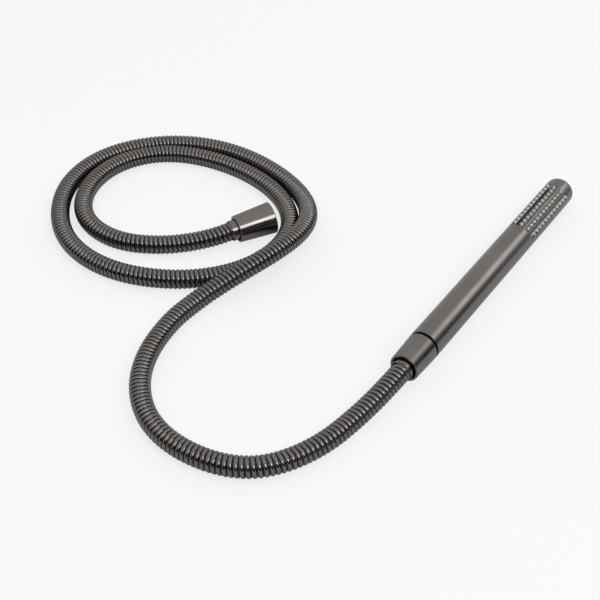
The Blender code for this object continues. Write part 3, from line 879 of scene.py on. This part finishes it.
def make_hose():
    """The interlocked hose: a crowned band wound round the centreline. The band keeps its width, so
    the groove between two turns widens outside a bend and closes inside it. Returns the hose and
    its path."""
    line = tucked_line(HOSE_POINTS)
    steps = np.linalg.norm(np.diff(line, axis=0), axis=1)
    along = np.concatenate([[0], np.cumsum(steps)])
    tangents = np.gradient(line, along, axis=0)
    tangents /= np.linalg.norm(tangents, axis=1)[:, None]
    normals = carried_normals(tangents)
    sides = np.cross(tangents, normals)
    window = np.ones(BEND_WINDOW) / BEND_WINDOW
    bends = np.gradient(tangents, along, axis=0)
    bends = np.stack([np.convolve(bends[:, i], window, "same") for i in range(3)], axis=1)

    bands = int(along[-1] / BAND_PITCH) - 1
    spare = (along[-1] - (bands + 1) * BAND_PITCH) / 2
    turn_steps = bands * HOSE_SIDES
    offsets = np.array([offset for offset, _ in BAND_PROFILE])
    radii = np.array([radius for _, radius in BAND_PROFILE])
    middles = spare + BAND_PITCH * (np.arange(turn_steps + 1) / HOSE_SIDES + 0.5)
    angles = 2 * math.pi * np.arange(turn_steps + 1) / HOSE_SIDES

    def at(values, places):
        return np.stack([np.interp(places, along, values[:, i]) for i in range(3)], axis=-1)

    def outward(places, turns):
        return np.cos(turns) * at(normals, places) + np.sin(turns) * at(sides, places)

    inward = np.sum(outward(middles, angles[:, None]) * at(bends, middles), axis=1)
    stretch = np.clip(1 - HOSE_R * inward, *STRETCH_LIMITS)
    places = middles[:, None] + offsets[None, :] / stretch[:, None]
    ring = outward(places, angles[:, None, None])
    points = (at(line, places) + ring * radii[None, :, None]).reshape(-1, 3)

    # quads across the band, and in the last column across the groove to the next turn; the groove
    # column and the end caps take the second material, painted shade
    size = len(BAND_PROFILE)
    total = turn_steps + 1
    grid = np.arange(total * size).reshape(total, size)
    joined = np.full((total, size + 1), -1)
    joined[:, :size] = grid
    joined[: total - HOSE_SIDES, size] = grid[HOSE_SIDES:, 0]
    faces, gaps = [], []
    for column in range(size):
        quads = np.stack([
            joined[:-1, column], joined[:-1, column + 1],
            joined[1:, column + 1], joined[1:, column],
        ], axis=1)
        quads = quads[(quads >= 0).all(axis=1)]
        faces.append(quads)
        gaps.append(np.full(len(quads), 1 if column == size - 1 else 0))
    quads = np.concatenate(faces)

    # a cap at each end, from the open edge of the last turn to a hub on the centreline
    start_loop = [grid[k, 0] for k in range(HOSE_SIDES + 1)]
    start_loop += [grid[0, c] for c in range(size - 1, 0, -1)]
    last = total - 1
    end_loop = [grid[k, size - 1] for k in range(last - HOSE_SIDES, last + 1)]
    end_loop += [grid[last, c] for c in range(size - 2, -1, -1)]
    caps = []
    verts = [tuple(p) for p in points]
    for loop, centre in ((start_loop, line[1]), (end_loop, line[-2])):
        verts.append(tuple(centre))
        hub = len(verts) - 1
        caps += [(int(a), int(b), hub) for a, b in zip(loop, loop[1:] + loop[:1])]
    mesh = bpy.data.meshes.new("interlocked_hose")
    mesh.from_pydata(verts, [], quads.tolist() + caps)
    hose = new_piece("interlocked_hose", mesh, ["hose", "hose_groove_painted_shade"], 60)
    index = np.concatenate(gaps + [np.ones(len(caps), int)])
    mesh.polygons.foreach_set("material_index", index.astype(np.int32))
    work = bmesh.new()
    work.from_mesh(mesh)
    bmesh.ops.recalc_face_normals(work, faces=work.faces)
    work.to_mesh(mesh)
    work.free()
    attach(hose, "hose_line")
    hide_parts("hose")
    return hose, np.vstack([line[:-1:PATH_STEP], line[-1:]])


# --- Stage ---------------------------------------------------------------------------------------


def make_camera():
    data = bpy.data.cameras.new("camera")
    data.lens = CAMERA_LENS
    data.sensor_width = SENSOR
    data.clip_start = CLIP_START
    camera = bpy.data.objects.new("camera", data)
    bpy.context.scene.collection.objects.link(camera)
    look = CAMERA_FORWARD.normalized() * math.cos(CAMERA_PITCH)
    look.z = -math.sin(CAMERA_PITCH)
    camera.location = CAMERA_PLACE
    camera.rotation_euler = look.to_track_quat("-Z", "Y").to_euler()
    bpy.context.scene.camera = camera


def make_floor():
    """The pale floor: to the camera partly an even glow, to reflections only lit by the lamps."""
    mesh = bpy.data.meshes.new("floor")
    reach = FLOOR_REACH
    corners = [(-reach, -reach, 0), (reach, -reach, 0), (reach, reach, 0), (-reach, reach, 0)]
    mesh.from_pydata(corners, [], [(0, 1, 2, 3)])
    material, tree, shader = new_material("pale_floor", FLOOR_GREY, 0.0, 0.7)
    shader.inputs["Specular IOR Level"].default_value = 0.0
    glow = tree.nodes.new("ShaderNodeEmission")
    glow.inputs["Strength"].default_value = GLOW
    ray = tree.nodes.new("ShaderNodeLightPath")
    blend = tree.nodes.new("ShaderNodeMixShader")
    share = math_node(tree, "MULTIPLY", ray.outputs["Is Camera Ray"], GLOW_SHARE)
    tree.links.new(share, blend.inputs["Fac"])
    tree.links.new(shader.outputs["BSDF"], blend.inputs[1])
    tree.links.new(glow.outputs["Emission"], blend.inputs[2])
    tree.links.new(blend.outputs["Shader"], tree.nodes["Material Output"].inputs["Surface"])
    mesh.materials.append(material)
    floor = bpy.data.objects.new("floor", mesh)
    bpy.context.scene.collection.objects.link(floor)


def softbox(name, direction, size, radiance):
    """A rectangular area light that shines at the object from a direction."""
    direction = Vector(direction).normalized()
    data = bpy.data.lights.new(name, "AREA")
    data.shape = "RECTANGLE"
    data.size, data.size_y = size
    data.energy = radiance * math.pi * size[0] * size[1]
    light = bpy.data.objects.new(name, data)
    bpy.context.scene.collection.objects.link(light)
    light.location = LAMP_TARGET + direction * LAMP_DISTANCE
    light.rotation_euler = (-direction).to_track_quat("-Z", "Y").to_euler()
    light.visible_camera = False


def math_node(tree, operation, first, second):
    """A Math node of two numbers or sockets; returns its value socket."""
    node = tree.nodes.new("ShaderNodeMath")
    node.operation = operation
    for socket, value in zip(node.inputs, (first, second)):
        if isinstance(value, (int, float)):
            socket.default_value = value
        else:
            tree.links.new(value, socket)
    return node.outputs["Value"]


def smooth_between(tree, value, low, high):
    """Rises smoothly from 0 to 1 as value goes from low to high."""
    node = tree.nodes.new("ShaderNodeMapRange")
    node.interpolation_type = "SMOOTHSTEP"
    node.inputs["From Min"].default_value = low
    node.inputs["From Max"].default_value = high
    tree.links.new(value, node.inputs["Value"])
    return node.outputs["Result"]


def facing(tree, direction, toward, low, high):
    """Rises from 0 to 1 as a direction in the studio turns toward a side."""
    dot = tree.nodes.new("ShaderNodeVectorMath")
    dot.operation = "DOT_PRODUCT"
    dot.inputs[1].default_value = toward
    tree.links.new(direction, dot.inputs[0])
    return smooth_between(tree, dot.outputs["Value"], low, high)


def below(tree, height, low, high):
    """Falls from 1 to 0 as height goes from low to high."""
    return math_node(tree, "SUBTRACT", 1.0, smooth_between(tree, height, low, high))


def make_world():
    """A pale grey studio, unlit low towards +X and low in front. The camera itself sees white."""
    world = bpy.data.worlds.new("studio")
    bpy.context.scene.world = world
    world.use_nodes = True
    tree = world.node_tree
    background = tree.nodes["Background"]
    direction = tree.nodes.new("ShaderNodeTexCoord").outputs["Generated"]
    split = tree.nodes.new("ShaderNodeSeparateXYZ")
    tree.links.new(direction, split.inputs["Vector"])
    height = split.outputs["Z"]
    side = math_node(tree, "MULTIPLY", facing(tree, direction, UNLIT_SIDE, 0.44, 0.79),
                     below(tree, height, 0.42, 0.55))
    front = math_node(tree, "MULTIPLY", facing(tree, direction, UNLIT_FRONT, 0.15, 0.4),
                      below(tree, height, 0.56, 0.66))
    unlit = math_node(tree, "MAXIMUM", side, front)
    level = tree.nodes.new("ShaderNodeMapRange")
    level.inputs["From Min"].default_value = 0.5
    level.inputs["To Min"].default_value = WALLS
    level.inputs["To Max"].default_value = CEILING
    tree.links.new(height, level.inputs["Value"])
    lit = tree.nodes.new("ShaderNodeMapRange")
    tree.links.new(unlit, lit.inputs["Value"])
    tree.links.new(level.outputs["Result"], lit.inputs["To Min"])
    lit.inputs["To Max"].default_value = UNLIT
    path = tree.nodes.new("ShaderNodeLightPath")
    strength = tree.nodes.new("ShaderNodeMapRange")
    tree.links.new(path.outputs["Is Camera Ray"], strength.inputs["Value"])
    tree.links.new(lit.outputs["Result"], strength.inputs["To Min"])
    strength.inputs["To Max"].default_value = 1.0
    tree.links.new(strength.outputs["Result"], background.inputs["Strength"])
    background.inputs["Color"].default_value = (1, 1, 1, 1)


def make_stage():
    make_camera()
    make_floor()
    make_world()
    for box in SOFTBOXES:
        softbox(*box)
    bpy.context.scene.view_settings.view_transform = "Standard"


# --- Assembly ------------------------------------------------------------------------------------

make_stage()
paint_nodes()
hose, hose_path = make_hose()
handset_ferrule = make_ferrule("handset", HANDSET_END, *HANDSET_FERRULE)
wall_ferrule = make_ferrule("wall", WALL_END, *WALL_FERRULE)
make_handset_tube()
for strip_row in range(len(ROWS)):
    make_silicone_strip(strip_row)
make_handset_nut()
wall_nut = make_wall_nut()
make_wall_thread()
make_wall_washer()
make_inlet_screen()

bpy.context.view_layer.update()
